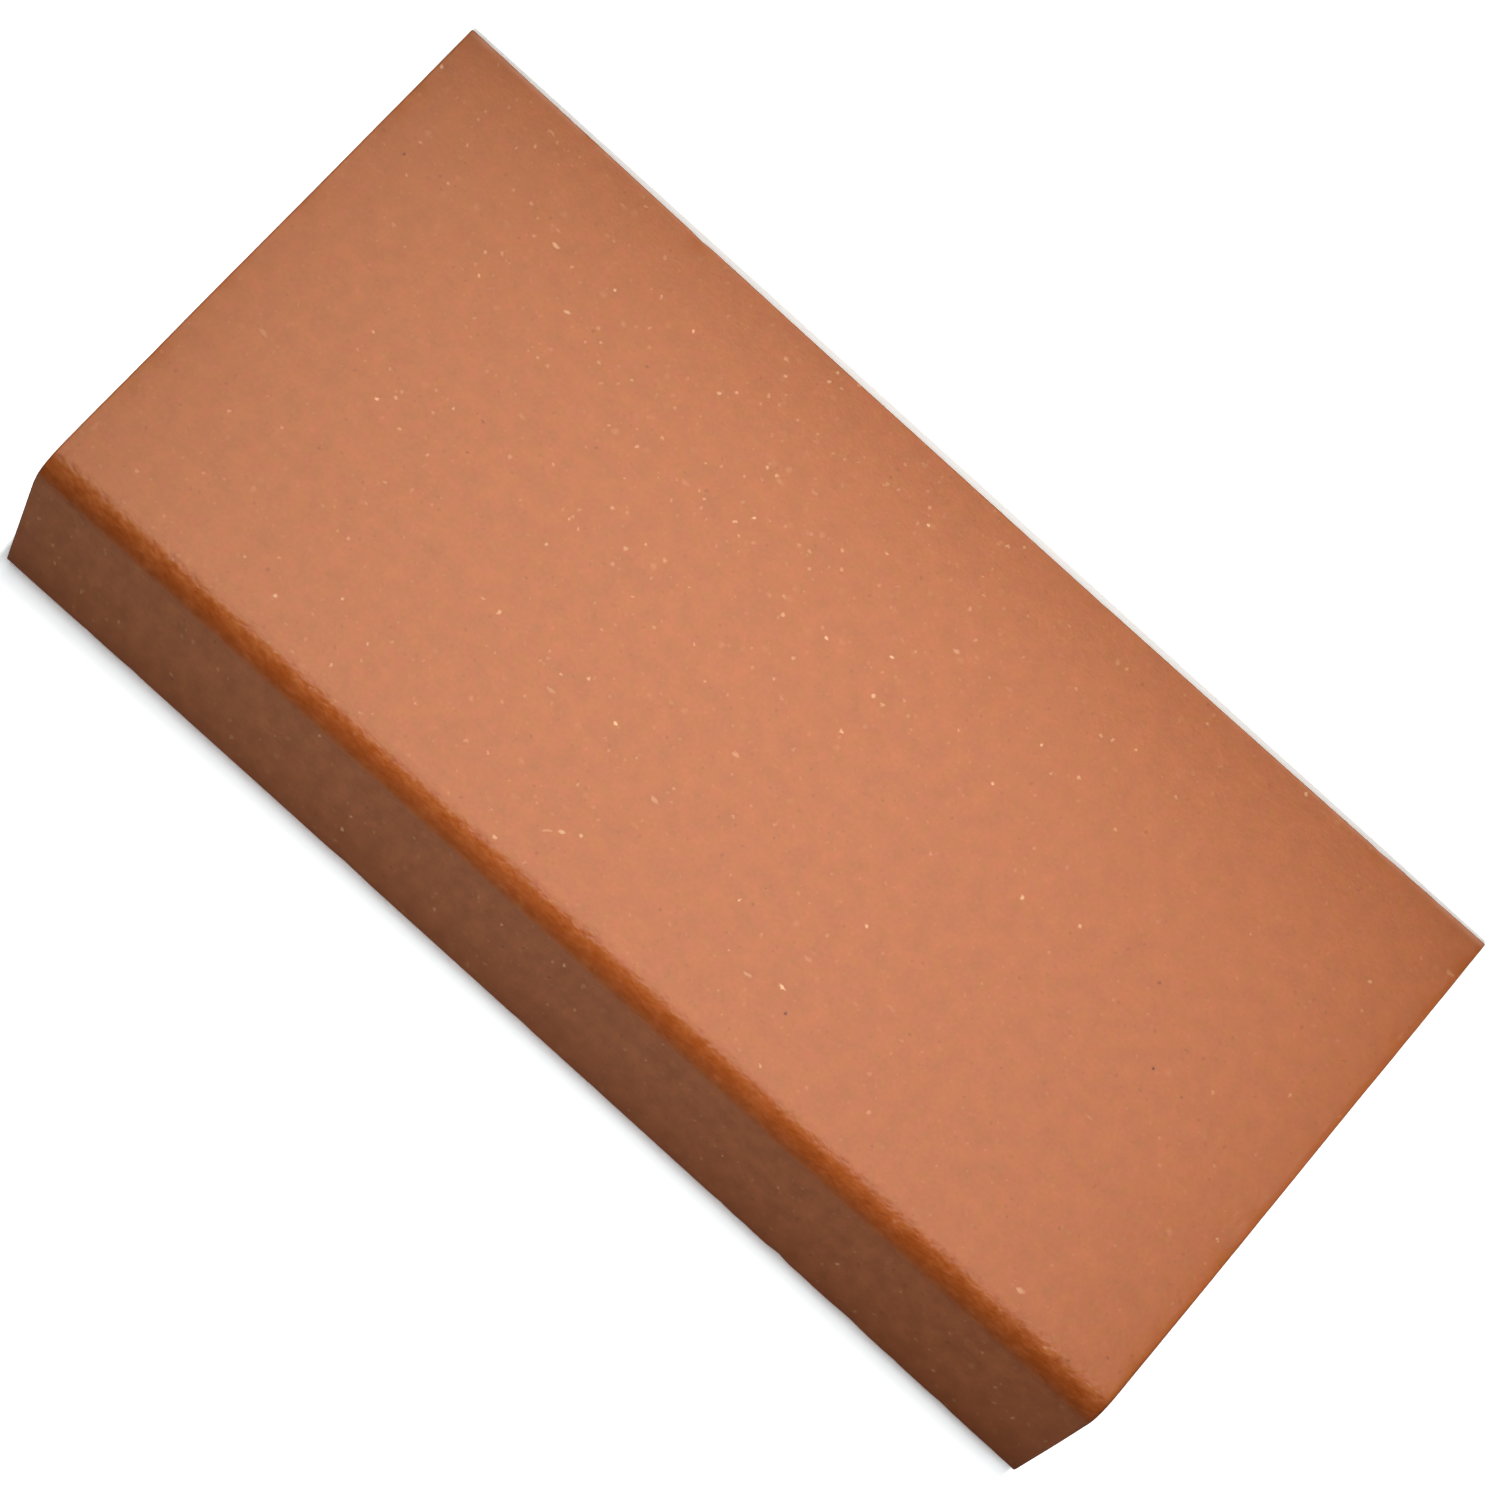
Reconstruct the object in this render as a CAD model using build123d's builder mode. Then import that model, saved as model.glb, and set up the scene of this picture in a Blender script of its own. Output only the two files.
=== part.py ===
from build123d import *
from math import atan2, cos, radians, sin, tan
import os

# Stair tread tile of fired clay: a plate whose front edge turns down into a leg.
# The clay is pressed through a die as one L-shaped strand, so the section runs the whole length.
# The section is drawn in the tile's own sense: across from the leg's face to the back edge, and up
# from the leg's foot to the tread. It is placed as the tile lies unheld on a level floor, on the
# inner side of the leg's foot and on the back edge, with the tread sloping down to the back.
# Millimetres: X along the nosing, Y to the back, Z up, origin in the middle of the footprint.

# Outside sizes
length = 245.0  # along the nosing
depth = 115.0  # across the tread, from the leg's face to the back edge
height = 52.0  # from the leg's foot to the tread

# Walls, measured to the faces of the ribs
plate_thickness = 12.0
leg_thickness = 12.0

# Roundings
nose_radius = 5.0  # the edge that is stepped on, between tread and leg
root_radius = 6.0  # inside, between plate and leg
arris_radius = 0.4  # every other outer edge, also round the two cut ends

# Dovetail keys that hold the mortar, with a rib between each two
key_mouth = 6.0
key_depth = 2.0
key_flank_angle = 68.0  # between a key's bottom and its flank
rib_width = 6.5

# How the tile lies: a line under the leg's foot and the back edge is level
underside = height - plate_thickness
rest_angle = atan2(underside, depth - leg_thickness)
foot_height = arris_radius * (1 - cos(rest_angle)) + (leg_thickness - arris_radius) * sin(rest_angle)
front_reach = arris_radius * (cos(rest_angle) + sin(rest_angle) - 1)
rear_reach = (
    (depth - arris_radius) * cos(rest_angle) + (height - arris_radius) * sin(rest_angle) + arris_radius
)
section_plane = Plane(
    origin=(0, -(front_reach + rear_reach) / 2, foot_height),
    x_dir=(0, cos(rest_angle), -sin(rest_angle)),
    z_dir=(1, 0, 0),
)

# Section points, as across and up
foot_front = (0, 0)
foot_back = (leg_thickness, 0)
nose_corner = (0, height)
root_corner = (leg_thickness, underside)
tread_back = (depth, height)
plate_back = (depth, underside)


def key_centres(bed_start, bed_end):
    """Middles of the keys on a flat bed: as many as fit with a rib beside each, centred on the bed."""
    pitch = key_mouth + rib_width
    count = int((bed_end - bed_start - rib_width) // pitch)
    first = (bed_start + bed_end - (count - 1) * pitch) / 2
    return [first + pitch * number for number in range(count)]


with BuildPart() as tread_tile:
    # The strand: plate and leg, with the rounded nose and root
    with BuildSketch(section_plane) as section:
        with BuildLine():
            Polyline(foot_front, nose_corner, tread_back, plate_back, root_corner, foot_back, close=True)
        make_face()
        fillet(section.vertices().sort_by_distance(nose_corner)[0], nose_radius)
        fillet(section.vertices().sort_by_distance(root_corner)[0], root_radius)
    extrude(amount=length / 2, both=True)

    # Arris on the four long edges and round both ends
    long_edges = tread_tile.edges().filter_by(Axis.X)
    arris_edges = tread_tile.faces().filter_by(Axis.X).edges()
    for corner in (foot_front, foot_back, tread_back, plate_back):
        arris_edges += [long_edges.sort_by_distance(section_plane.from_local_coords(corner))[0]]
    fillet(arris_edges, arris_radius)

    # Keys under the plate and behind the leg, wider at the bottom than at the mouth
    key_bottom = key_mouth + 2 * key_depth / tan(radians(key_flank_angle))
    with BuildSketch(section_plane) as keys:
        for across in key_centres(leg_thickness + root_radius, depth):
            with Locations((across, underside)):
                Trapezoid(
                    key_bottom, key_depth, key_flank_angle, rotation=180, align=(Align.CENTER, Align.MAX)
                )
        for up in key_centres(0, underside - root_radius):
            with Locations((leg_thickness, up)):
                Trapezoid(
                    key_bottom, key_depth, key_flank_angle, rotation=-90, align=(Align.CENTER, Align.MAX)
                )
    extrude(amount=length / 2, both=True, mode=Mode.SUBTRACT)

tread_tile.part.label = "tread_tile"

os.makedirs("parts", exist_ok=True)
export_step(tread_tile.part, "parts/tread_tile.step")
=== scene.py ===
"""Stair tread tile of fired clay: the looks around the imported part, its studio and its camera.

The tile is one L-shaped strand, a plate whose front edge turns down into a leg. It lies unheld on
the inner side of the leg's foot and on the back edge, and the camera looks straight down on it.
Sizes are metres in the row frame: X along the nosing, Y to the back, Z up. The section is worked
out in the tile's own sense, across from the leg's face to the back edge and up from the leg's foot.
"""

import logging
from dataclasses import dataclass
from enum import Enum
from math import atan2, ceil, cos, e, pi, radians, sin, tan
from typing import Any, Union

import bpy
import numpy as np
from mathutils import Matrix, Vector
from mathutils.geometry import delaunay_2d_cdt


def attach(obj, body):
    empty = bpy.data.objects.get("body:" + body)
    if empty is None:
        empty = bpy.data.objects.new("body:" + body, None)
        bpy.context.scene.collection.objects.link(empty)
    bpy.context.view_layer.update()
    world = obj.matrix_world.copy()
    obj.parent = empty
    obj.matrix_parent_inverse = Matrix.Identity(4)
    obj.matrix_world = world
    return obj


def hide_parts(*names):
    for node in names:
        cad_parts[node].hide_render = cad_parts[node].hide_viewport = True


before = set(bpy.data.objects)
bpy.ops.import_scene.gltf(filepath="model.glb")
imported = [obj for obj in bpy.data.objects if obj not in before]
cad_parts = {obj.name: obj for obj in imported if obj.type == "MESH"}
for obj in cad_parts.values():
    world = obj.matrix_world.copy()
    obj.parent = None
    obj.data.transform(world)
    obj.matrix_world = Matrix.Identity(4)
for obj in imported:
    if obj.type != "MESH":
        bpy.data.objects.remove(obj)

LOG = logging.getLogger("tread_tile")
MM = 0.001
# Blender's Delaunay call: keep what lies inside the loop, and join points closer than this
INSIDE_ONLY = 1
TOLERANCE = 1e-6

Colour = tuple[float, float, float]
Point = tuple[float, float, float]
Span = tuple[float, float]
Operand = Union["Wire", float]


class Face(Enum):
    """The three kinds of face that the tile has, in the order of its material slots."""

    SKIN = 0
    BACK = 1
    END = 2


class Wire:
    """One output socket: a value with its arithmetic, or a colour or a place with what is done to it."""

    def __init__(self, bench: "Bench", socket: bpy.types.NodeSocket) -> None:
        """Keeps the socket and the bench that its next nodes go on."""
        self.bench = bench
        self.socket = socket

    def __add__(self, other: Operand) -> "Wire":
        """Sum."""
        return self.bench.maths("ADD", self, other)

    __radd__ = __add__

    def __sub__(self, other: Operand) -> "Wire":
        """Difference."""
        return self.bench.maths("SUBTRACT", self, other)

    def __rsub__(self, other: Operand) -> "Wire":
        """Difference, the other way round."""
        return self.bench.maths("SUBTRACT", other, self)

    def __mul__(self, other: Operand) -> "Wire":
        """Product."""
        return self.bench.maths("MULTIPLY", self, other)

    __rmul__ = __mul__

    def between(self, low: float, high: float) -> "Wire":
        """Soft step: 0 below low, 1 above high, and a smooth S between. Falls if low is above high."""
        inputs = {"Value": self, "From Min": low, "From Max": high, "To Min": 0.0, "To Max": 1.0}
        return self.bench.node("ShaderNodeMapRange", inputs, interpolation_type="SMOOTHSTEP")

    def size(self) -> "Wire":
        """The value without its sign."""
        return self.bench.maths("MAXIMUM", self, self * -1.0)

    def fade(self, reach: float) -> "Wire":
        """1 where the value is 0, and less by a factor of e with each reach."""
        return self.bench.maths("POWER", e, self * (-1 / reach))

    def rarity(self, share: Operand) -> "Wire":
        """How rare an even random value is: the logarithm of the share over it, and 0 beyond the share."""
        ratio = self.bench.maths("DIVIDE", share, self)
        return self.bench.maths("MAXIMUM", self.bench.maths("LOGARITHM", ratio, e), 0.0)

    def also(self, out: str) -> "Wire":
        """Another output of the node that this one comes from."""
        return Wire(self.bench, self.bench.pick(self.socket.node.outputs, out))

    def mix(self, first: Any, second: Any) -> "Wire":
        """The first colour where the value is 0, and the second where it is 1."""
        inputs = {"Factor_Float": self, "A_Color": opaque(first), "B_Color": opaque(second)}
        return self.bench.node("ShaderNodeMix", inputs, "Result_Color", data_type="RGBA")

    def of(self, colour: Any) -> "Wire":
        """A colour times the value."""
        return self.bench.node("ShaderNodeVectorMath", {"Vector": colour, "Scale": self}, operation="SCALE")

    def plus(self, other: Any) -> "Wire":
        """Two colours or places, added."""
        inputs = {"Vector": self, "Vector_001": other}
        return self.bench.node("ShaderNodeVectorMath", inputs, operation="ADD")

    def axes(self) -> tuple["Wire", "Wire", "Wire"]:
        """The three numbers of a place."""
        along = self.bench.node("ShaderNodeSeparateXYZ", {"Vector": self}, "X")
        return along, along.also("Y"), along.also("Z")

    def shifted(self, by: "Wire", reach: float) -> "Wire":
        """A place moved by a noise colour, whose middle grey stays put, by up to half the reach."""
        inputs = {"Vector": by.plus((-0.5, -0.5, -0.5)), "Scale": reach}
        return self.plus(self.bench.node("ShaderNodeVectorMath", inputs, operation="SCALE"))

    def mapped(self, scale: Point = (1, 1, 1), turn: Point = (0, 0, 0), move: Point = (0, 0, 0)) -> "Wire":
        """A place scaled, then turned, then moved."""
        inputs = {"Vector": self, "Location": move, "Rotation": turn, "Scale": scale}
        return self.bench.node("ShaderNodeMapping", inputs, vector_type="POINT")

    def noise(self, grain: float, detail: float = 2.0, out: str = "Fac") -> "Wire":
        """Cloudy noise over a place, with features about the grain across, in metres."""
        inputs = {"Vector": self, "Scale": 1 / grain, "Detail": detail, "Roughness": 0.5}
        return self.bench.node("ShaderNodeTexNoise", inputs, out)


class Bench:
    """The node tree of one material, and the one method that puts a node on it."""

    def __init__(self, tree: bpy.types.NodeTree) -> None:
        """Takes the tree and clears it."""
        self.tree = tree
        tree.nodes.clear()

    def node(self, kind: str, inputs: dict[str, Any], out: str | int = 0, **settings: Any) -> Wire | None:
        """Adds a node.

        Args:
            kind: the node's type name.
            inputs: the value or link of each socket, by its name or identifier.
            out: name, identifier or number of the output that is wanted.
            settings: the node's own settings, set before its sockets.

        Returns:
            The wanted output, or None from a node that closes the tree.
        """
        made = self.tree.nodes.new(kind)
        for name, value in settings.items():
            setattr(made, name, value)
        for name, value in inputs.items():
            self.feed(self.pick(made.inputs, name), value)
        return Wire(self, self.pick(made.outputs, out)) if len(made.outputs) else None

    def pick(self, sockets: Any, name: str | int) -> bpy.types.NodeSocket:
        """Finds a socket, with hidden ones passed over.

        Args:
            sockets: all inputs or all outputs of a node.
            name: number, identifier or name of the one that is wanted.

        Returns:
            The socket.
        """
        if isinstance(name, int):
            return sockets[name]
        return next(s for s in sockets if s.enabled and name in (s.identifier, s.name))

    def feed(self, socket: bpy.types.NodeSocket, value: Any) -> None:
        """Links an output to a socket, or sets the socket's own value.

        Args:
            socket: the input.
            value: the output, or the value.
        """
        if isinstance(value, Wire):
            self.tree.links.new(value.socket, socket)
        else:
            socket.default_value = value

    def maths(self, operation: str, first: Operand, second: Operand) -> Wire:
        """One Math node on two values."""
        return self.node("ShaderNodeMath", {"Value": first, "Value_001": second}, operation=operation)


def opaque(colour: Any) -> Any:
    """A plain colour with its alpha, or the wire as it is."""
    return (*colour, 1.0) if isinstance(colour, tuple) else colour


def dressing(name: str) -> tuple[bpy.types.Material, Bench]:
    """Makes a material with an empty node tree.

    Args:
        name: the material's name.

    Returns:
        The material, and the bench of its node tree.
    """
    made = bpy.data.materials.new(name)
    made.use_nodes = True
    return made, Bench(made.node_tree)


def put(name: str, data: bpy.types.ID) -> bpy.types.Object:
    """Makes an object at the origin of the scene.

    Args:
        name: the object's name.
        data: its mesh, light or camera.

    Returns:
        The object.
    """
    made = bpy.data.objects.new(name, data)
    bpy.context.scene.collection.objects.link(made)
    return made


def aimed(place: Point, aim: Point, right: Point) -> Matrix:
    """Stands a light or a camera at a place and turns it to its aim.

    Args:
        place: where it stands.
        aim: the point that it looks at.
        right: the direction that its width is turned to.

    Returns:
        Its matrix in the scene.
    """
    back = (Vector(place) - Vector(aim)).normalized()
    up = back.cross(Vector(right)).normalized()
    return Matrix.Translation(place) @ Matrix((up.cross(back), up, back)).transposed().to_4x4()


@dataclass(frozen=True)
class Outline:
    """The closed section as arrays, with one entry for each of its points.

    Fields:
        points: across and up.
        normals: which way is outwards.
        rims: how far the cut end is rounded there.
        faces: the kind of face that starts at the point.
    """

    points: np.ndarray
    normals: np.ndarray
    rims: np.ndarray
    faces: np.ndarray


@dataclass(frozen=True)
class Corner:
    """One corner of the section before it is rounded.

    Fields:
        across, up: its place.
        radius: how far the rounding reaches over the run after a square corner.
        steps: how many pieces the arc is divided into.
        face: the kind of face that starts here.
        lead: how many times further the rounding reaches over the run before a square corner.
    """

    across: float
    up: float
    radius: float
    steps: int
    face: Face
    lead: float = 1.0


@dataclass(frozen=True)
class Section:
    """The tile's section, as in the part's source, with what firing and wear made of the nose."""

    depth: float = 115 * MM
    height: float = 52 * MM
    underside: float = 40 * MM
    leg_thickness: float = 12 * MM
    nose_radius: float = 5.5 * MM
    nose_lead: float = 1.1
    root_radius: float = 6 * MM
    arris: float = 0.42 * MM
    rim: float = 0.3 * MM
    key_mouth: float = 6 * MM
    key_depth: float = 2 * MM
    key_flank_angle: float = 68.0
    rib_width: float = 6.5 * MM
    mouth_radius: float = 0.3 * MM
    bed_radius: float = 0.5 * MM
    key_rim: float = 0.12 * MM
    spacing: float = 1.4 * MM
    hold: float = 0.15 * MM
    nose_steps: int = 24
    root_steps: int = 10
    arris_steps: int = 4
    key_steps: int = 3

    def key_centres(self, bed_start: float, bed_end: float) -> list[float]:
        """Middles of the keys on a flat bed: as many as fit, centred on it.

        Args:
            bed_start: where the bed starts.
            bed_end: where it ends.

        Returns:
            The places of the keys' middles along the bed.
        """
        pitch = self.key_mouth + self.rib_width
        count = int((bed_end - bed_start - self.rib_width) // pitch)
        first = (bed_start + bed_end - (count - 1) * pitch) / 2
        return [first + pitch * number for number in range(count)]

    def key(self, centre: float) -> list[tuple[float, float, float]]:
        """Corners of a dovetail key.

        The mouth reaches half its width to either side of the middle, and the bottom reaches
        further by the depth over the tangent of the flank's angle.

        Args:
            centre: place of the key's middle along its bed.

        Returns:
            The four corners in the order of travel, each as along, into and radius.
        """
        half = self.key_mouth / 2
        wide = half + self.key_depth / tan(radians(self.key_flank_angle))
        return [
            (centre + half, 0.0, self.mouth_radius),
            (centre + wide, self.key_depth, self.bed_radius),
            (centre - wide, self.key_depth, self.bed_radius),
            (centre - half, 0.0, self.mouth_radius),
        ]

    def corners(self) -> list[Corner]:
        """Every corner of the section, with those of the keys on the two inner runs.

        Returns:
            The corners, from the foot's front up the leg's face, over the tread and back inside.
        """
        thick, low, back = self.leg_thickness, self.underside, Face.BACK
        arris = (self.arris, self.arris_steps)
        inside = [Corner(self.depth, low, *arris, back)]
        for centre in reversed(self.key_centres(thick + self.root_radius, self.depth)):
            inside += [Corner(a, low + i, r, self.key_steps, back) for a, i, r in self.key(centre)]
        inside += [Corner(thick, low, self.root_radius, self.root_steps, back)]
        for centre in reversed(self.key_centres(0.0, low - self.root_radius)):
            inside += [Corner(thick - i, a, r, self.key_steps, back) for a, i, r in self.key(centre)]
        return [
            Corner(0.0, 0.0, *arris, Face.SKIN),
            Corner(0.0, self.height, self.nose_radius, self.nose_steps, Face.SKIN, self.nose_lead),
            Corner(self.depth, self.height, *arris, Face.SKIN),
            *inside,
            Corner(thick, 0.0, *arris, Face.SKIN),
        ]

    def outline(self) -> Outline:
        """The rounded section.

        Each corner is cut back on both of its runs by its radius times the tangent of half the
        turn, and an arc that touches both runs joins the cuts: the first cut, plus the radius times
        (sin a times the run's direction plus (1 - cos a) times its side), for a from 0 to the turn.
        On the square nose the lead makes the arc a quarter of an ellipse: it stretches the cut and
        the arc along the first run. The runs between are divided evenly at about the spacing, and
        those of the skin once more close to each arc, so that their shading stays flat.
        Normals are the travel between the two neighbours, turned left.

        Returns:
            The outline as arrays.
        """
        corners = self.corners()
        place = np.array([(c.across, c.up) for c in corners])
        into = place - np.roll(place, 1, axis=0)
        into /= np.linalg.norm(into, axis=1)[:, None]
        away = np.roll(into, -1, axis=0)
        turn = np.arctan2(np.cross(into, away), (into * away).sum(axis=1))
        radius = np.array([c.radius for c in corners])
        lead = np.array([c.lead for c in corners])[:, None] * into
        cut = radius * np.tan(np.abs(turn) / 2)
        side = np.sign(turn)[:, None] * np.stack([-into[:, 1], into[:, 0]], axis=1)
        arcs = []
        for number, corner in enumerate(corners):
            a = np.linspace(0, abs(turn[number]), corner.steps + 1)[:, None]
            swing = np.sin(a) * lead[number] + (1 - np.cos(a)) * side[number]
            arcs.append(place[number] - cut[number] * lead[number] + radius[number] * swing)
        points, faces = [], []
        for number, corner in enumerate(corners):
            here, after = arcs[number][-1], arcs[(number + 1) % len(arcs)][0]
            count = ceil(np.linalg.norm(after - here) / self.spacing)
            share = np.linspace(0, 1, count + 1)[1:-1]
            if corner.face is Face.SKIN:
                hold = self.hold / np.linalg.norm(after - here)
                share = np.concatenate([[hold], share, [1 - hold]])
            run = here + share[:, None] * (after - here)
            points += [arcs[number], run]
            faces += [np.full(len(arcs[number]) + len(run), corner.face.value)]
        points, faces = np.concatenate(points), np.concatenate(faces)
        travel = np.roll(points, -1, axis=0) - np.roll(points, 1, axis=0)
        travel /= np.linalg.norm(travel, axis=1)[:, None]
        normals = np.stack([-travel[:, 1], travel[:, 0]], axis=1)
        rims = np.where(faces == Face.SKIN.value, self.rim, self.key_rim)
        return Outline(points, normals, rims, faces)


@dataclass(frozen=True)
class Lie:
    """How the tile lies: turned about X by its rest angle, from across and up to the row frame."""

    angle: float = atan2(40, 103)
    front: float = -63.0123 * MM
    foot: float = 4.2264 * MM

    def placed(self, along: np.ndarray, across: np.ndarray, up: np.ndarray) -> np.ndarray:
        """Turns across and up by the rest angle, and then moves them to the foot.

        Args:
            along: along the length.
            across: from the leg's face to the back.
            up: from the foot to the tread.

        Returns:
            The places in the row frame.
        """
        y = self.front + across * cos(self.angle) + up * sin(self.angle)
        z = self.foot - across * sin(self.angle) + up * cos(self.angle)
        return np.stack([along, y, z], axis=-1)

    def own(self, bench: Bench) -> Wire:
        """Turns the object coordinates back by the rest angle, and moves them back from the foot.

        Args:
            bench: the bench of the material.

        Returns:
            The tile's own coordinates: along, across and up.
        """
        place = bench.node("ShaderNodeTexCoord", {}, "Object")
        y, z = -self.front, -self.foot
        moved = (0.0, y * cos(self.angle) - z * sin(self.angle), y * sin(self.angle) + z * cos(self.angle))
        return place.mapped(turn=(self.angle, 0.0, 0.0), move=moved)


@dataclass(frozen=True)
class Grain:
    """One sort of grain in the clay. Its dashes lie along a line turned from the tile's length.

    Fields:
        colour: the grain's own colour.
        cell: distance between the grains.
        size: radius of a grain.
        strength: how much of its colour a grain of middle rarity shows.
        on_leg: how many times as strong it is on the leg.
        core: share of the radius inside which a grain is at its full strength.
        stretch: how many times longer than wide it is.
        turn: degrees from the tile's length to the dashes.
    """

    colour: Colour
    cell: float
    size: float
    strength: float
    on_leg: float = 1.0
    core: float = 0.35
    stretch: float = 1.0
    turn: float = 0.0

    def spread(self, bent: Wire, share: Operand = 1.0) -> Wire:
        """Where the grains are: one at most in each cell, few of them strong and many faint.

        A face shows the slice through a ball of the grain's size, and the cell's own random colour
        says how rare and so how strong the grain is.

        Args:
            bent: the clay's coordinates, bent by fine noise so that no grain is round.
            share: the share of the cells that hold a grain.

        Returns:
            How much of the grain's colour shows, from 0 up.
        """
        drawn = bent.mapped((1 / self.stretch, 1, 1), (0, 0, -radians(self.turn)))
        inputs = {"Vector": drawn, "Scale": 1 / self.cell, "Randomness": 1.0}
        near = bent.bench.node("ShaderNodeTexVoronoi", inputs, "Distance")
        chance = bent.bench.node("ShaderNodeSeparateColor", {"Color": near.also("Color")}, "Red")
        shape = near.between(self.size / self.cell, self.core * self.size / self.cell)
        return shape * chance.rarity(share) * self.strength


@dataclass(frozen=True)
class Mark:
    """One mark on the tread that stands out: a short stroke with soft, uneven borders.

    Fields:
        colour: its colour.
        along, across: its middle.
        reach, width: half its length and half its width.
        strength: how much of the colour shows.
        turn: degrees from the tile's length to the stroke.
        core: share of its size inside which it is at its full strength.
        thick: half of how deep it goes into the clay.
    """

    colour: Colour
    along: float
    across: float
    reach: float
    width: float
    strength: float
    turn: float = 44.0
    core: float = 0.4
    thick: float = 1.5 * MM

    def spread(self, bent: Wire) -> Wire:
        """Where the mark is: a soft step of the distance from its middle, measured in its own sizes.

        Args:
            bent: the tile's own coordinates, bent by fine noise so that no border is even.

        Returns:
            How much of the mark's colour shows: full in its core, and 0 beyond its own ellipse.
        """
        middle = (self.along, self.across, Section.height)
        size = (self.reach, self.width, self.thick)
        inputs = {"Vector": bent, "Location": middle, "Rotation": (0, 0, radians(self.turn)), "Scale": size}
        inside = bent.bench.node("ShaderNodeMapping", inputs, vector_type="TEXTURE")
        away = bent.bench.node("ShaderNodeVectorMath", {"Vector": inside}, "Value", operation="LENGTH")
        return away.between(1.0, self.core) * self.strength


@dataclass(frozen=True)
class ClayFinish:
    """Fired clay as any face of the tile shows it: its body, its mottling and its pale grains.

    Lengths are metres and heights of the relief are millimetres. A field that ends in size is how
    far apart the clouds of one noise are, and a span is where a soft step starts and ends.
    """

    name: str
    rosy: Colour = (0.586, 0.154, 0.040)
    olive: Colour = (0.558, 0.165, 0.032)
    refraction: float = 1.49
    cloud_size: float = 2.6 * MM
    cloud_span: Span = (0.25, 0.75)
    shade_size: float = 3.8 * MM
    shade_spread: float = 0.30
    fine_size: float = 0.9 * MM
    fine_shade_spread: float = 0.09
    bend: float = 0.9 * MM
    leg_unevenness: float = 0.75
    leg_calm: float = 0.55
    # Partly painted sheen: a pale colour that follows the shade noise, mostly on the leg, and finely all
    # over.
    bloom_and_sheen: Colour = (0.10, 0.06, 0.042)
    fine_bloom_and_sheen: float = 0.2
    specks: Grain = Grain((0.95, 0.53, 0.26), 2.15 * MM, 0.50 * MM, 0.23, on_leg=1.1)
    dashes: Grain = Grain((0.95, 0.53, 0.26), 4.0 * MM, 0.55 * MM, 0.26, 0.0, stretch=2.2, turn=38)
    smudges: Grain = Grain((0.74, 0.31, 0.11), 3.0 * MM, 1.0 * MM, 0.12, 1.2, core=0.1)
    flecks: Grain = Grain((0.80, 0.40, 0.18), 1.55 * MM, 0.45 * MM, 0.055)
    pits: Grain = Grain((0.16, 0.035, 0.008), 1.6 * MM, 0.45 * MM, 0.065)
    olive_drift: float = 0.8
    patch_size: float = 30 * MM
    patch_span: Span = (0.30, 0.62)
    patch_least: float = 0.7
    patch_gain: float = 0.4
    crowd_span: Span = (68 * MM, 80 * MM)
    crowd_least: float = 0.34
    right_span: Span = (-10 * MM, 70 * MM)
    right_loss: float = 0.80
    left_span: Span = (-80 * MM, -120 * MM)
    left_loss: float = 0.35
    roughness: float = 0.32
    rough_size: float = 5 * MM
    rough_spread: float = 0.06
    peel_size: float = 1.6 * MM
    peel_height: float = 0.045
    grit_size: float = 0.5 * MM
    grit_height: float = 0.012
    lie: Lie = Lie()

    def body(self, own: Wire) -> Wire:
        """Coordinates of the pattern in the clay: the tile's own, as it was pressed in one piece."""
        return own

    def below(self, own: Wire) -> Operand:
        """1 on the leg's face, and 0 elsewhere."""
        return 0.0

    def colour(self, own: Wire, bent: Wire) -> Wire:
        """The clay's own colour: rosy and olive clouds, light and shade, flecks, pits and pale grains.

        The light parts of the shade are also a little paler, by a pale bloom that is partly painted sheen,
        and mostly on the leg.

        Args:
            own: the tile's own coordinates.
            bent: the coordinates of the clay's pattern, bent by fine noise.

        Returns:
            The colour.
        """
        body, below = self.body(own), self.below(own)
        uneven = below * self.leg_unevenness + 1.0
        cloud = (body.noise(self.cloud_size, 2.0) - 0.5) * (1.0 - self.leg_calm * below) + 0.5
        cloud = cloud - own.axes()[0] * self.olive_drift
        tone = cloud.between(*self.cloud_span).mix(self.rosy, self.olive)
        wide = body.noise(self.shade_size, 3.0) - 0.5
        fine = body.noise(self.fine_size, 1.0) - 0.5
        shade = (wide * self.shade_spread + fine * self.fine_shade_spread) * uneven
        # Pale bloom, partly painted sheen.
        bloom_and_sheen = (wide * below + fine * self.fine_bloom_and_sheen).of(self.bloom_and_sheen)
        tone = (shade + 1.0).of(tone).plus(bloom_and_sheen)
        tone = self.flecks.spread(bent).mix(tone, self.flecks.colour)
        tone = (self.pits.spread(bent) * uneven).mix(tone, self.pits.colour)
        plenty = self.plenty(own) * (1.0 - below) + below
        for grain in (self.smudges, self.dashes, self.specks):
            seen = grain.spread(bent, plenty) * (below * (grain.on_leg - 1) + 1.0)
            tone = seen.mix(tone, grain.colour)
        return tone

    def plenty(self, own: Wire) -> Wire:
        """How many pale grains there are: they crowd along the back and are fewest at the right end.

        Args:
            own: the tile's own coordinates.

        Returns:
            The share of the cells that hold a grain.
        """
        along, across, _ = own.axes()
        patch = own.noise(self.patch_size, 1.0).between(*self.patch_span)
        crowd = across.between(*self.crowd_span) * (1.0 - self.crowd_least) + self.crowd_least
        right = along.between(*self.right_span) * self.right_loss
        left = along.between(*self.left_span) * self.left_loss
        return (patch * self.patch_gain + self.patch_least) * crowd * (1.0 - right - left)

    def sheen(self, own: Wire) -> Wire:
        """Roughness, with soft duller and smoother patches."""
        patch = own.noise(self.rough_size, 2.0)
        return (patch - 0.5) * self.rough_spread + self.roughness

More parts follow.
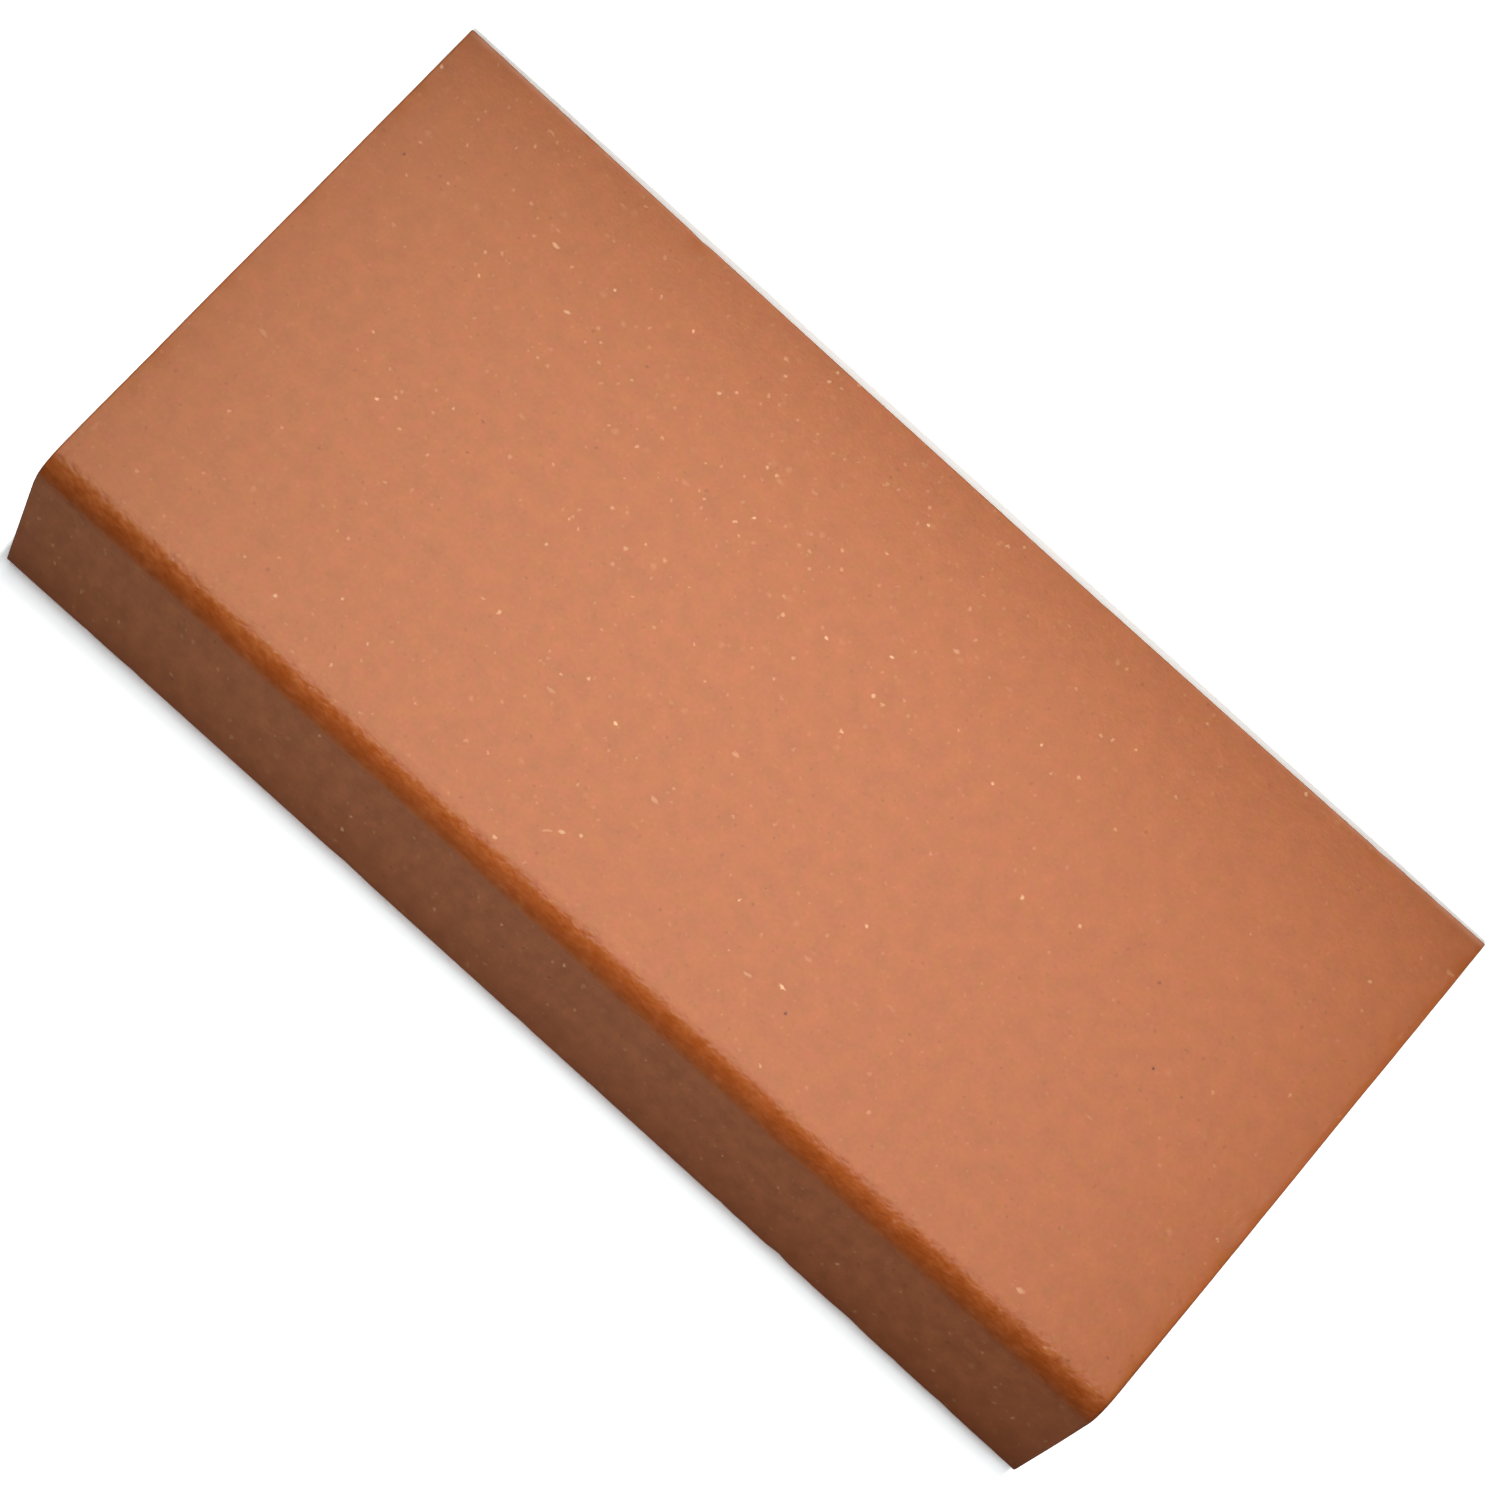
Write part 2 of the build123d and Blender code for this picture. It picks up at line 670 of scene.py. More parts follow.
    def relief(self, own: Wire) -> Wire:
        """Height of the fine relief in millimetres: an orange peel with grit on it."""
        peel = own.noise(self.peel_size, 2.0) * self.peel_height
        return peel + own.noise(self.grit_size, 1.0) * self.grit_height

    def material(self) -> bpy.types.Material:
        """Builds the finish.

        Returns:
            The material.
        """
        made, bench = dressing(self.name)
        own = self.lie.own(bench)
        body = self.body(own)
        bent = body.shifted(body.noise(self.fine_size, 1.0, "Color"), self.bend)
        inputs = {"Height": self.relief(own), "Distance": MM, "Strength": 1.0}
        surface = {
            "Base Color": self.colour(own, bent),
            "Roughness": self.sheen(own),
            "Normal": bench.node("ShaderNodeBump", inputs),
            "IOR": self.refraction,
        }
        shader = bench.node("ShaderNodeBsdfPrincipled", surface)
        bench.node("ShaderNodeOutputMaterial", {"Surface": shader})
        return made


@dataclass(frozen=True)
class FiredSkin(ClayFinish):
    """The pressed and fired outer faces: satin, deeper in colour over the nose and to the edges by painted
    shade.
    """

    # Painted shade over the rounded nose: a deeper, redder colour with ragged borders, paler in torn
    # patches and deeper still towards the ends.
    nose: Colour = (0.45, 0.092, 0.011)
    nose_pale: Colour = (0.54, 0.125, 0.024)
    nose_reach: float = 4.9 * MM
    nose_drop: float = 6.8 * MM
    nose_core: float = 0.25
    nose_slant: float = 0.002
    nose_drop_at_ends: float = 0.008
    nose_far: float = 60 * MM
    nose_depth_at_ends: float = 0.14
    burr_size: float = 1.0 * MM
    burr_reach: float = 7.5 * MM
    burr_drop: float = 9.0 * MM
    burr_height: float = 0.24
    burr_turn: float = 42.0
    burr_draw: float = 0.6
    burr_bite: float = 4.4 * MM
    torn_size: float = 3.0 * MM
    torn_span: Span = (0.35, 0.75)
    torn_bite: float = 3.0 * MM
    # Painted shade: a deeper colour towards the back edge, the foot and the ends, where less light falls.
    painted_edge_shade_colour: Colour = (0.286, 0.070, 0.014)
    painted_edge_shade_reach: float = 14 * MM
    painted_edge_shade_reach_at_ends: float = 9.8 * MM
    painted_edge_shade_back: float = 0.35
    painted_edge_shade_foot: float = 0.75
    painted_edge_shade_ends: float = 0.20
    leg_draw: float = 0.45
    leg_span: Span = (5 * MM, 9 * MM)
    # Wear and painted highlight: a paler colour in patches along the back edge of the tread.
    wear_and_highlight_colour: Colour = (0.74, 0.40, 0.27)
    wear_and_highlight_share: float = 0.4
    wear_and_highlight_reach: Span = (1.6 * MM, 0.2 * MM)
    wear_and_highlight_drop: Span = (1.2 * MM, 0.6 * MM)
    wear_and_highlight_size: float = 5 * MM
    wear_and_highlight_span: Span = (0.2, 0.6)
    mark_ripple: float = 0.6 * MM
    mark_bend: float = 0.4 * MM
    half_length: float = 122.5 * MM
    section: Section = Section()
    bright_dash: Mark = Mark((0.95, 0.58, 0.32), -13.6 * MM, 14.0 * MM, 0.85 * MM, 0.40 * MM, 0.55, 25)
    faint_dash: Mark = Mark((0.85, 0.46, 0.23), -15.6 * MM, 12.4 * MM, 1.2 * MM, 0.30 * MM, 0.40)
    back_comma: Mark = Mark((0.95, 0.62, 0.36), -74.5 * MM, 86.6 * MM, 0.9 * MM, 0.38 * MM, 0.6, 20)
    dark_spot: Mark = Mark((0.12, 0.03, 0.01), 90.5 * MM, 54.9 * MM, 0.45 * MM, 0.3 * MM, 0.9, 95)
    front_spot: Mark = Mark((0.12, 0.03, 0.01), 36.0 * MM, 16.8 * MM, 0.4 * MM, 0.35 * MM, 0.8)
    corner_spot: Mark = Mark((0.12, 0.03, 0.01), -114.4 * MM, 88.2 * MM, 0.4 * MM, 0.35 * MM, 0.8)

    def body(self, own: Wire) -> Wire:
        """The tile's own coordinates, drawn out down the leg, where the die wiped the clay."""
        return own.mapped((1.0, 1.0, self.leg_draw))

    def below(self, own: Wire) -> Wire:
        """1 on the leg's face, and 0 on the tread."""
        return (self.section.height - own.axes()[2]).between(*self.leg_span)

    def over_nose(self, own: Wire, reach: float, drop: float, ragged: Operand) -> Wire:
        """Mask of the rounded nose, for its painted shade and for the burrs beside it.

        Args:
            own: the tile's own coordinates.
            reach: how far it goes over the tread.
            drop: how far it goes down the leg.
            ragged: how far its borders are moved in or out at each place.

        Returns:
            1 on the nose and 0 beyond the two borders.
        """
        along, across, up = own.axes()
        nearer = across + ragged - along * self.nose_slant
        over = nearer.between(reach, self.nose_core * reach)
        deeper = self.section.height - up - along.size() * self.nose_drop_at_ends
        return over * (deeper + ragged).between(drop, self.nose_core * drop)

    def burrs(self, own: Wire) -> Wire:
        """Noise of the small torn burrs that the die leaves along the nose, slanting across it."""
        drawn = own.mapped((self.burr_draw, 1.0, 1.0), (0.0, 0.0, -radians(self.burr_turn)))
        return drawn.noise(self.burr_size, 1.5)

    def painted_edge_shade(self, own: Wire) -> Wire:
        """Painted shade: where the colour is deepened towards the back edge, the foot and the ends.

        Args:
            own: the tile's own coordinates.

        Returns:
            How much of the painted shade shows.
        """
        along, across, up = own.axes()
        back = (self.section.depth - across).fade(self.painted_edge_shade_reach) * self.painted_edge_shade_back
        foot = up.fade(self.painted_edge_shade_reach) * self.painted_edge_shade_foot
        ends = (self.half_length - along.size()).fade(self.painted_edge_shade_reach_at_ends) * self.painted_edge_shade_ends
        return back + foot + ends

    def wear_and_highlight(self, own: Wire) -> Wire:
        """Where the back edge of the tread is paler, in patches: wear and painted highlight.

        Args:
            own: the tile's own coordinates.

        Returns:
            How much of the pale colour shows.
        """
        _, across, up = own.axes()
        edge = (self.section.depth - across).between(*self.wear_and_highlight_reach)
        top = (self.section.height - up).between(*self.wear_and_highlight_drop)
        patch = own.noise(self.wear_and_highlight_size, 2.0).between(*self.wear_and_highlight_span)
        return edge * top * patch * self.wear_and_highlight_share

    def colour(self, own: Wire, bent: Wire) -> Wire:
        """The clay's colour with its marks, with painted shade deeper at the edges, and deeper and redder
        over the nose.

        Args:
            own: the tile's own coordinates.
            bent: the coordinates of the clay's pattern, bent by fine noise.

        Returns:
            The colour.
        """
        tone = super().colour(own, bent)
        straight = own.shifted(own.noise(self.mark_ripple, 1.0, "Color"), self.mark_bend)
        pale = (self.bright_dash, self.faint_dash, self.back_comma)
        for mark in (*pale, self.dark_spot, self.front_spot, self.corner_spot):
            tone = mark.spread(straight).mix(tone, mark.colour)
        # Painted shade towards the back edge, the foot and the ends.
        tone = self.painted_edge_shade(own).mix(tone, self.painted_edge_shade_colour)
        # Wear and painted highlight along the back edge.
        tone = self.wear_and_highlight(own).mix(tone, self.wear_and_highlight_colour)
        torn = own.noise(self.torn_size, 3.0)
        ragged = (self.burrs(own) - 0.5) * self.burr_bite + (torn - 0.5) * self.torn_bite
        # Painted shade over the rounded nose, deeper towards the ends.
        nose = torn.between(*self.torn_span).mix(self.nose, self.nose_pale)
        far = own.axes()[0].size().between(self.nose_far, self.half_length)
        nose = (1.0 - far * self.nose_depth_at_ends).of(nose)
        over = self.over_nose(own, self.nose_reach, self.nose_drop, ragged)
        return over.mix(tone, nose)

    def relief(self, own: Wire) -> Wire:
        """Orange peel, and the burrs on and beside the nose.

        Args:
            own: the tile's own coordinates.

        Returns:
            The height in millimetres.
        """
        burr = self.burrs(own) * self.burr_height
        beside = self.over_nose(own, self.burr_reach, self.burr_drop, 0.0)
        return super().relief(own) + burr * beside


@dataclass(frozen=True)
class KeyedBack(ClayFinish):
    """The inner side: the same clay, matt, with long drag lines from the die and paler dust."""

    roughness: float = 0.62
    dust: Colour = (0.60, 0.24, 0.10)
    dust_size: float = 14 * MM
    dust_span: Span = (0.18, 0.40)
    dust_share: float = 0.55
    line_size: float = 0.8 * MM
    line_draw: float = 0.03
    line_height: float = 0.05

    def lines(self, own: Wire) -> Wire:
        """Noise drawn out almost the whole length of the tile."""
        return own.mapped((self.line_draw, 1.0, 1.0)).noise(self.line_size, 3.0)

    def colour(self, own: Wire, bent: Wire) -> Wire:
        """The clay's colour under a broken veil of dust that follows the drag lines.

        Args:
            own: the tile's own coordinates.
            bent: the coordinates of the clay's pattern, bent by fine noise.

        Returns:
            The colour.
        """
        veil = own.noise(self.dust_size, 4.0) * self.lines(own)
        dusty = veil.between(*self.dust_span) * self.dust_share
        return dusty.mix(super().colour(own, bent), self.dust)

    def relief(self, own: Wire) -> Wire:
        """Orange peel under the long drag lines."""
        return super().relief(own) + self.lines(own) * self.line_height


@dataclass(frozen=True)
class WireCutEnd(ClayFinish):
    """The two cut ends: open grain, torn a little by the wire, with the lines of its travel."""

    roughness: float = 0.7
    specks: Grain = Grain((0.84, 0.48, 0.27), 2.6 * MM, 0.55 * MM, 0.25)
    pits: Grain = Grain((0.16, 0.035, 0.008), 3.5 * MM, 0.5 * MM, 0.6)
    # Painted shade: a darker colour in the low parts of the torn relief.
    hollow: Colour = (0.36, 0.088, 0.018)
    hollow_span: Span = (0.62, 0.38)
    hollow_share: float = 0.3
    torn_size: float = 1.3 * MM
    torn_height: float = 0.07
    travel_size: float = 0.7 * MM
    travel_draw: float = 0.05
    travel_turn: float = 7.0
    travel_height: float = 0.05

    def travel(self, own: Wire) -> Wire:
        """Noise drawn out in the direction in which the wire went down through the clay."""
        drawn = own.mapped((1.0, 1.0, self.travel_draw), (radians(self.travel_turn), 0.0, 0.0))
        return drawn.noise(self.travel_size, 2.0)

    def torn(self, own: Wire) -> Wire:
        """Noise of the grain that the wire tore open: low in the hollows."""
        return own.noise(self.torn_size, 4.0)

    def colour(self, own: Wire, bent: Wire) -> Wire:
        """The clay's colour, a little darker in the torn hollows of the relief: painted shade."""
        hollow = self.torn(own).between(*self.hollow_span) * self.hollow_share
        return hollow.mix(super().colour(own, bent), self.hollow)

    def relief(self, own: Wire) -> Wire:
        """Torn grain and the lines of the wire's travel."""
        torn = self.torn(own) * self.torn_height
        return torn + self.travel(own) * self.travel_height


@dataclass(frozen=True)
class Ripple:
    """An unevenness made of plane waves.

    Fields:
        count: number of waves.
        short, long: shortest and longest wavelength.
        height: how far it goes in at the most.
    """

    count: int
    short: float
    long: float
    height: float


@dataclass
class TreadTile:
    """The tile: its section carried along X, with what drying and firing did to the strand.

    The ranges of the dents' radius and depth are in millimetres.
    """

    name: str = "tread_tile_fired"
    node: str = "tread_tile"
    length: float = 245 * MM
    section: Section = Section()
    lie: Lie = Lie()
    station_spacing: float = 1.4 * MM
    rim_room: float = 1.5 * MM
    rim_steps: int = 4
    cap_spacing: float = 2.2 * MM
    cap_clear: float = 0.4
    sharp_angle: float = 40.0
    nose_taper: float = 0.2 * MM
    nose_skew: float = 0.2 * MM
    back_taper: float = 1.3 * MM
    back_hollow: float = 0.8 * MM
    foot_lift: float = 0.4 * MM
    foot_hollow: float = 0.9 * MM
    leg_lean: float = 0.045
    lean_below: float = 42 * MM
    worn_rim: float = 2.4
    worn_reach: float = 22 * MM
    slow_wave: Ripple = Ripple(24, 30 * MM, 80 * MM, 0.05 * MM)
    nose_wave: Ripple = Ripple(30, 4 * MM, 15 * MM, 0.05 * MM)
    nose_wave_reach: float = 5 * MM
    cut_wave: Ripple = Ripple(12, 18 * MM, 45 * MM, 0.08 * MM)
    cut_wave_reach: float = 5 * MM
    dent_count: int = 46
    dent_radius: Span = (0.6, 1.5)
    dent_depth: Span = (0.02, 0.16)
    seed: int = 41

    def waves(self, place: np.ndarray, ripple: Ripple, seed: int) -> np.ndarray:
        """Smooth random field between 0 and 1.

        The sum of plane cosine waves in seeded directions, with seeded lengths between the shortest
        and the longest, over the root of half their number. A third of it is added to a half, and
        that is held between 0 and 1.

        Args:
            place: along, across and up, in the last axis.
            ripple: the number and lengths of the waves.
            seed: seed of the draws.

        Returns:
            One value for each place.
        """
        draw = np.random.default_rng(seed)
        way = draw.normal(size=(ripple.count, 3))
        wavelength = draw.uniform(ripple.short, ripple.long, ripple.count)
        way *= (2 * pi / wavelength / np.linalg.norm(way, axis=1))[:, None]
        phase = draw.uniform(0, 2 * pi, ripple.count)
        total = np.cos(place @ way.T + phase).sum(axis=-1) / np.sqrt(ripple.count / 2)
        return np.clip(total / 3 + 0.5, 0, 1)

    def dents(self, place: np.ndarray) -> np.ndarray:
        """Depth of small dents along the long edges and round the two ends.

        Each is a seeded place on an edge, and its depth falls off as the bell curve of the distance
        over its own radius.

        Args:
            place: along, across and up, in the last axis.

        Returns:
            The depth at each place.
        """
        draw = np.random.default_rng(self.seed)
        half, count, section = self.length / 2, self.dent_count, self.section
        back, foot = section.depth, section.leg_thickness
        edges = np.array([(0, 0), (back, section.height), (back, section.underside), (foot, 0)])
        on_long = np.column_stack([draw.uniform(-half, half, count), edges[draw.integers(0, 4, count)]])
        side = np.where(draw.random(count) < 0.5, -half, half)
        top = draw.uniform(0, back, count)
        on_end = np.column_stack([side, top, np.full(count, section.height)])
        centre = np.concatenate([on_long, on_end])
        radius = draw.uniform(*self.dent_radius, len(centre)) * MM
        depth = draw.uniform(*self.dent_depth, len(centre)) * MM
        total = np.zeros(place.shape[:-1])
        for middle, wide, deep in zip(centre, radius, depth):
            total += deep * np.exp(-((place - middle) ** 2).sum(axis=-1) / (2 * wide**2))
        return total

    def fired(self, along: np.ndarray, across: np.ndarray, up: np.ndarray) -> np.ndarray:
        """Places of the fired tile in the row frame.

        The ends come in by a taper that grows to the back, and the nose is skewed to the right, by
        a share that falls to nothing at the back. The back edge is hollow by a parabola along the
        length, whose share grows as the square of across. The leg's foot is lifted by a line and a
        parabola along the length, whose share falls as the square of up. The left end of the leg
        leans in below the plate. The cut is uneven by a slow wave that dies out within a few
        millimetres of the end.

        Args:
            along: along the length.
            across: from the leg's face to the back.
            up: from the foot to the tread.

        Returns:
            The places.
        """
        half = self.length / 2
        share = along / half
        bow = 1 - share**2
        high = up / self.section.height
        deep = across / self.section.depth
        at_end = np.stack([np.sign(along) * half, across, up], -1)
        cut = self.waves(at_end, self.cut_wave, self.seed + 1)
        near_end = np.exp(-(half - np.abs(along)) / self.cut_wave_reach)
        x = along * (1 - (self.nose_taper + (self.back_taper - self.nose_taper) * deep) / half)
        x += self.nose_skew * (1 - deep) - np.sign(along) * self.cut_wave.height * cut * near_end
        below = np.clip(self.lean_below - up, 0, None)
        x += self.leg_lean * below * (0.5 - 0.5 * share) ** 3
        rise = (self.foot_lift * (1 - share) + self.foot_hollow * bow) * np.clip(1 - high, 0, 1) ** 2
        return self.lie.placed(x, across - self.back_hollow * bow * deep**2, up + rise)

    def stations(self, outline: Outline) -> tuple[np.ndarray, np.ndarray]:
        """Where the section stands along the length, and how far it is drawn in there.

        Even stations between the ends, and at each end a quarter circle of the rim's radius: the
        rim times (1 - sin a) short of the end, drawn in by the rim times (1 - cos a). One more
        station close to the left rim keeps the shading flat up to it. The right end's rim is worn
        to some times its radius beside the nose, and the wear falls off as e to the distance over
        its reach.

        Args:
            outline: the section.

        Returns:
            Along and inset, each with a row for each station and a column for each point.
        """
        half = self.length / 2
        inner = half - self.rim_room
        middle = np.linspace(-inner, inner, ceil(2 * inner / self.station_spacing) + 1)
        a = np.linspace(0, pi / 2, self.rim_steps + 1)[:, None]
        off_nose = np.linalg.norm(outline.points - [0, self.section.height], axis=1)
        worn = outline.rims * (1 + self.worn_rim * np.exp(-off_nose / self.worn_reach))
        left, right = (half - rims * (1 - np.sin(a)) for rims in (outline.rims, worn))
        left_in, right_in = (rims * (1 - np.cos(a)) for rims in (outline.rims, worn))
        held = self.section.hold - left[:1]
        along = np.concatenate([-left[::-1], held, np.repeat(middle[:, None], len(worn), 1), right])
        inset = np.concatenate([left_in[::-1], np.zeros((len(middle) + 1, len(worn))), right_in])
        return along, inset

    def side(self, outline: Outline) -> np.ndarray:
        """The strand's surface before it is placed.

        The section's points, moved inwards along their normals by the end's inset, slow waves over
        all faces, a finer wobble on the nose and the dents of the edges.

        Args:
            outline: the section.

        Returns:
            Along, across and up, with a row for each station and a column for each point.
        """
        along, inset = self.stations(outline)
        flat = np.broadcast_to(outline.points, (*along.shape, 2))
        place = np.concatenate([along[..., None], flat], axis=-1)
        off_nose = ((flat - [0, self.section.height]) ** 2).sum(-1)
        nose = np.exp(-off_nose / (2 * self.nose_wave_reach**2))
        inwards = inset + self.slow_wave.height * self.waves(place, self.slow_wave, self.seed + 2)
        inwards += self.nose_wave.height * nose * self.waves(place, self.nose_wave, self.seed + 3)
        inwards += self.dents(place)
        place[..., 1:] -= inwards[..., None] * outline.normals
        return place

    def cap(self, ring: np.ndarray) -> tuple[np.ndarray, np.ndarray]:
        """Fills a cut end with triangles.

        A grid of points at the cap's spacing, those kept that lie inside the ring by the even-odd
        rule and clear of it, are joined with the ring by Delaunay's rule.

        Args:
            ring: across and up of the end's outline, in order.

        Returns:
            The points added inside, and triangles on ring points followed by these, anticlockwise.
        """
        low, high = ring.min(axis=0), ring.max(axis=0)
        u, v = np.meshgrid(*(np.arange(a, b, self.cap_spacing) for a, b in zip(low, high)))
        grid = np.column_stack([u.ravel(), v.ravel()])
        after = np.roll(ring, -1, axis=0)
        spans = (ring[:, 1] > grid[:, 1:]) != (after[:, 1] > grid[:, 1:])
        rise = np.where(after[:, 1] == ring[:, 1], 1.0, after[:, 1] - ring[:, 1])
        meets = ring[:, 0] + (grid[:, 1:] - ring[:, 1]) / rise * (after[:, 0] - ring[:, 0])
        inside = (spans & (meets > grid[:, :1])).sum(axis=1) % 2 == 1
        away = np.linalg.norm(grid[:, None] - ring, axis=-1).min(axis=1)
        grid = grid[inside & (away > self.cap_clear * self.cap_spacing)]
        every = [Vector(p) for p in np.concatenate([ring, grid]) / MM]
        loop = list(range(len(ring)))[::-1]
        _, _, faces, origin, _, _ = delaunay_2d_cdt(every, [], [loop], INSIDE_ONLY, TOLERANCE)
        back = np.array([o[0] for o in origin])
        return grid, back[np.array(faces)]

    def build(self) -> bpy.types.Object:
        """Makes the tile's mesh, places it, dresses it and ties it to the frame.

        Returns:
            The tile.
        """
        outline = self.section.outline()
        side = self.side(outline)
        rows, columns = side.shape[:2]
        places = [side.reshape(-1, 3)]
        index = np.arange(rows * columns).reshape(rows, columns)
        near, far = index[:-1], index[1:]
        quads = np.stack([near, far, np.roll(far, -1, 1), np.roll(near, -1, 1)], axis=-1).reshape(-1, 4)
        kinds = [np.tile(outline.faces, rows - 1)]
        triangles = []
        start = rows * columns
        for ring, turn in ((0, -1), (rows - 1, 1)):
            inner, faces = self.cap(side[ring, :, 1:])
            reach = turn * (turn * side[ring, :, 0]).max()
            places.append(np.column_stack([np.full(len(inner), reach), inner]))
            lookup = np.concatenate([index[ring], start + np.arange(len(inner))])
            start += len(inner)
            triangles.append(lookup[faces][:, ::turn])
            kinds.append(np.full(len(faces), Face.END.value))
        places = np.concatenate(places)
        mesh = bpy.data.meshes.new(self.name)
        placed = self.fired(places[:, 0], places[:, 1], places[:, 2])
        mesh.from_pydata(placed, [], quads.tolist() + np.concatenate(triangles).tolist())
        for finish in (FiredSkin("fired_skin"), KeyedBack("keyed_back"), WireCutEnd("wire_cut_end")):
            mesh.materials.append(finish.material())
        mesh.polygons.foreach_set("material_index", np.concatenate(kinds).astype(np.int32))
        mesh.polygons.foreach_set("use_smooth", np.ones(len(mesh.polygons), dtype=bool))
        mesh.set_sharp_from_angle(angle=radians(self.sharp_angle))
        mesh.validate()
        tile = put(self.name, mesh)
        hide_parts(self.node)
        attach(tile, "root")
        return tile


@dataclass
class Floor:
    """The white table that the tile lies on. It keeps the tile's contact shadow.

    Fields:
        half: half its width.
        paper: its colour for the light in the room.
        paper_in_gloss: the colour of the painted patch that the gloss on the tile reflects.
        glow: its own light, for the light in the room.
        patch: distances ahead between which that painted patch sets in.
        patch_rise, patch_start: distances ahead over which it grows to its whole, and what share of
            it is there beside the foot.
        patch_right, patch_loss: over how far to the right it gets weaker, and by what share.
        lift, lift_behind: its colour for the camera in front of the tile, and behind it; the first is about
            twice as bright, as painted light over the tile's shadow in front.
        lift_span: where the first goes over into the second.
        front, back, ends: the two distances from the middle between which a painted glow of the floor's own
            fades the shadow to white.
        tunnel, tunnel_sides: distances along and across between which painted light makes the shadow under
            the tile lighter, as if light came in at the two open ends.
        tunnel_light: how much lighter the painted light makes it.
    """

    name: str = "floor"
    half: float = 6.0
    paper: float = 0.75
    paper_in_gloss: float = 0.288
    glow: float = 0.03
    patch: Span = (170 * MM, 110 * MM)
    patch_rise: Span = (62 * MM, 80 * MM)
    patch_start: float = 0.5
    patch_right: float = 130 * MM
    patch_loss: float = 0.5
    lift: Colour = (2.16, 2.27, 2.30)
    lift_behind: Colour = (1.10, 1.15, 1.12)
    lift_span: Span = (-60 * MM, 60 * MM)
    front: Span = (62.8 * MM, 76.8 * MM)
    back: Span = (63.7 * MM, 64.15 * MM)
    ends: Span = (121.5 * MM, 123.2 * MM)
    tunnel: Span = (92 * MM, 122 * MM)
    tunnel_sides: Span = (62 * MM, 46 * MM)
    tunnel_light: float = 0.45

    def seen(self, bench: Bench) -> Wire:
        """The table for the camera: it keeps the shadow close to the tile, and further off a painted glow
        makes it white.

        Args:
            bench: the bench of the material.

        Returns:
            The shader.
        """
        x, y, _ = bench.node("ShaderNodeTexCoord", {}, "Object").axes()
        # Painted light: a glow that grows away from the tile fades its shadow to white, and lightens it
        # under the open ends.
        ahead = (y * -1.0).between(*self.front)
        sides = bench.maths("MAXIMUM", y.between(*self.back), x.size().between(*self.ends))
        under = x.size().between(*self.tunnel) * y.size().between(*self.tunnel_sides) * self.tunnel_light
        sides = bench.maths("MAXIMUM", sides, under)
        white = y.between(*self.lift_span).mix(self.lift, self.lift_behind)
        return self.paint(bench, white, bench.maths("MAXIMUM", ahead, sides))

    def gloss(self, bench: Bench) -> Wire:
        """The table for the gloss on the tile: a painted lit patch in front of the leg, black elsewhere, in
        a dim room: a painted reflection.

        Args:
            bench: the bench of the material.

        Returns:
            The shader.
        """
        x, y, _ = bench.node("ShaderNodeTexCoord", {}, "Object").axes()
        ahead = y * -1.0
        rise = ahead.between(*self.patch_rise) * (1 - self.patch_start) + self.patch_start
        lit = ahead.between(*self.patch) * rise * (1.0 - x.between(0.0, self.patch_right) * self.patch_loss)
        return self.paint(bench, lit.mix((0.0,) * 3, (self.paper_in_gloss,) * 3), 0.0)

    def material(self) -> bpy.types.Material:
        """Pale paper for the light in the room, the painted patch for the gloss, and bright enough for the
        camera to be white.

        Returns:
            The material.
        """
        made, bench = dressing(self.name)
        room = self.paint(bench, (self.paper,) * 3, self.glow)
        clear = bench.node("ShaderNodeBsdfTransparent", {})
        below = bench.node("ShaderNodeNewGeometry", {}, "Backfacing")
        camera = bench.node("ShaderNodeLightPath", {}, "Is Camera Ray")
        glossy = bench.node("ShaderNodeLightPath", {}, "Is Glossy Ray")
        # Glossy rays see the painted patch: a painted reflection on the tile.
        room = bench.node("ShaderNodeMixShader", {0: glossy, 1: room, 2: self.gloss(bench)})
        seen = bench.node("ShaderNodeMixShader", {0: below, 1: self.seen(bench), 2: clear})
        shader = bench.node("ShaderNodeMixShader", {0: camera, 1: room, 2: seen})
        bench.node("ShaderNodeOutputMaterial", {"Surface": shader})
        return made

    def paint(self, bench: Bench, white: Any, glow: Operand) -> Wire:
        """A diffuse paint with a little white light of its own.

        Args:
            bench: the bench of the material.
            white: colour of the paint.
            glow: strength of its light.

        Returns:
            The shader.
        """
        paint = bench.node("ShaderNodeBsdfDiffuse", {"Color": opaque(white)})
        light = bench.node("ShaderNodeEmission", {"Strength": glow})
        return bench.node("ShaderNodeAddShader", {0: paint, 1: light})

    def build(self) -> bpy.types.Object:
        """Makes the floor and puts it on the stage.

        Returns:
            The floor.
        """
        h = self.half
        mesh = bpy.data.meshes.new(self.name)
        mesh.from_pydata([(-h, -h, 0), (h, -h, 0), (h, h, 0), (-h, h, 0)], [], [(0, 1, 2, 3)])
        mesh.materials.append(self.material())
        floor = put(self.name, mesh)
        return floor


@dataclass
class SoftPanel:
    """A soft rectangular light, tilted down to its aim, with its width level."""

    name: str = "soft_panel"
    place: Point = (-0.001, 0.081, 0.269)
    aim: Point = (0.092, -0.12, 0.03)
    width: float = 0.320
    depth: float = 0.340
    radiance: float = 2.27
    in_gloss: bool = True

    def build(self) -> bpy.types.Object:
        """Makes the light, unseen by the camera.

        Returns:
            The light.
        """
        light = bpy.data.lights.new(self.name, "AREA")
        light.shape = "RECTANGLE"
        light.size, light.size_y = self.width, self.depth
        light.energy = pi * self.width * self.depth * self.radiance
        panel = put(self.name, light)
        panel.matrix_world = aimed(self.place, self.aim, (1.0, 0.0, 0.0))
        panel.visible_camera = False
        panel.visible_glossy = self.in_gloss
        return panel


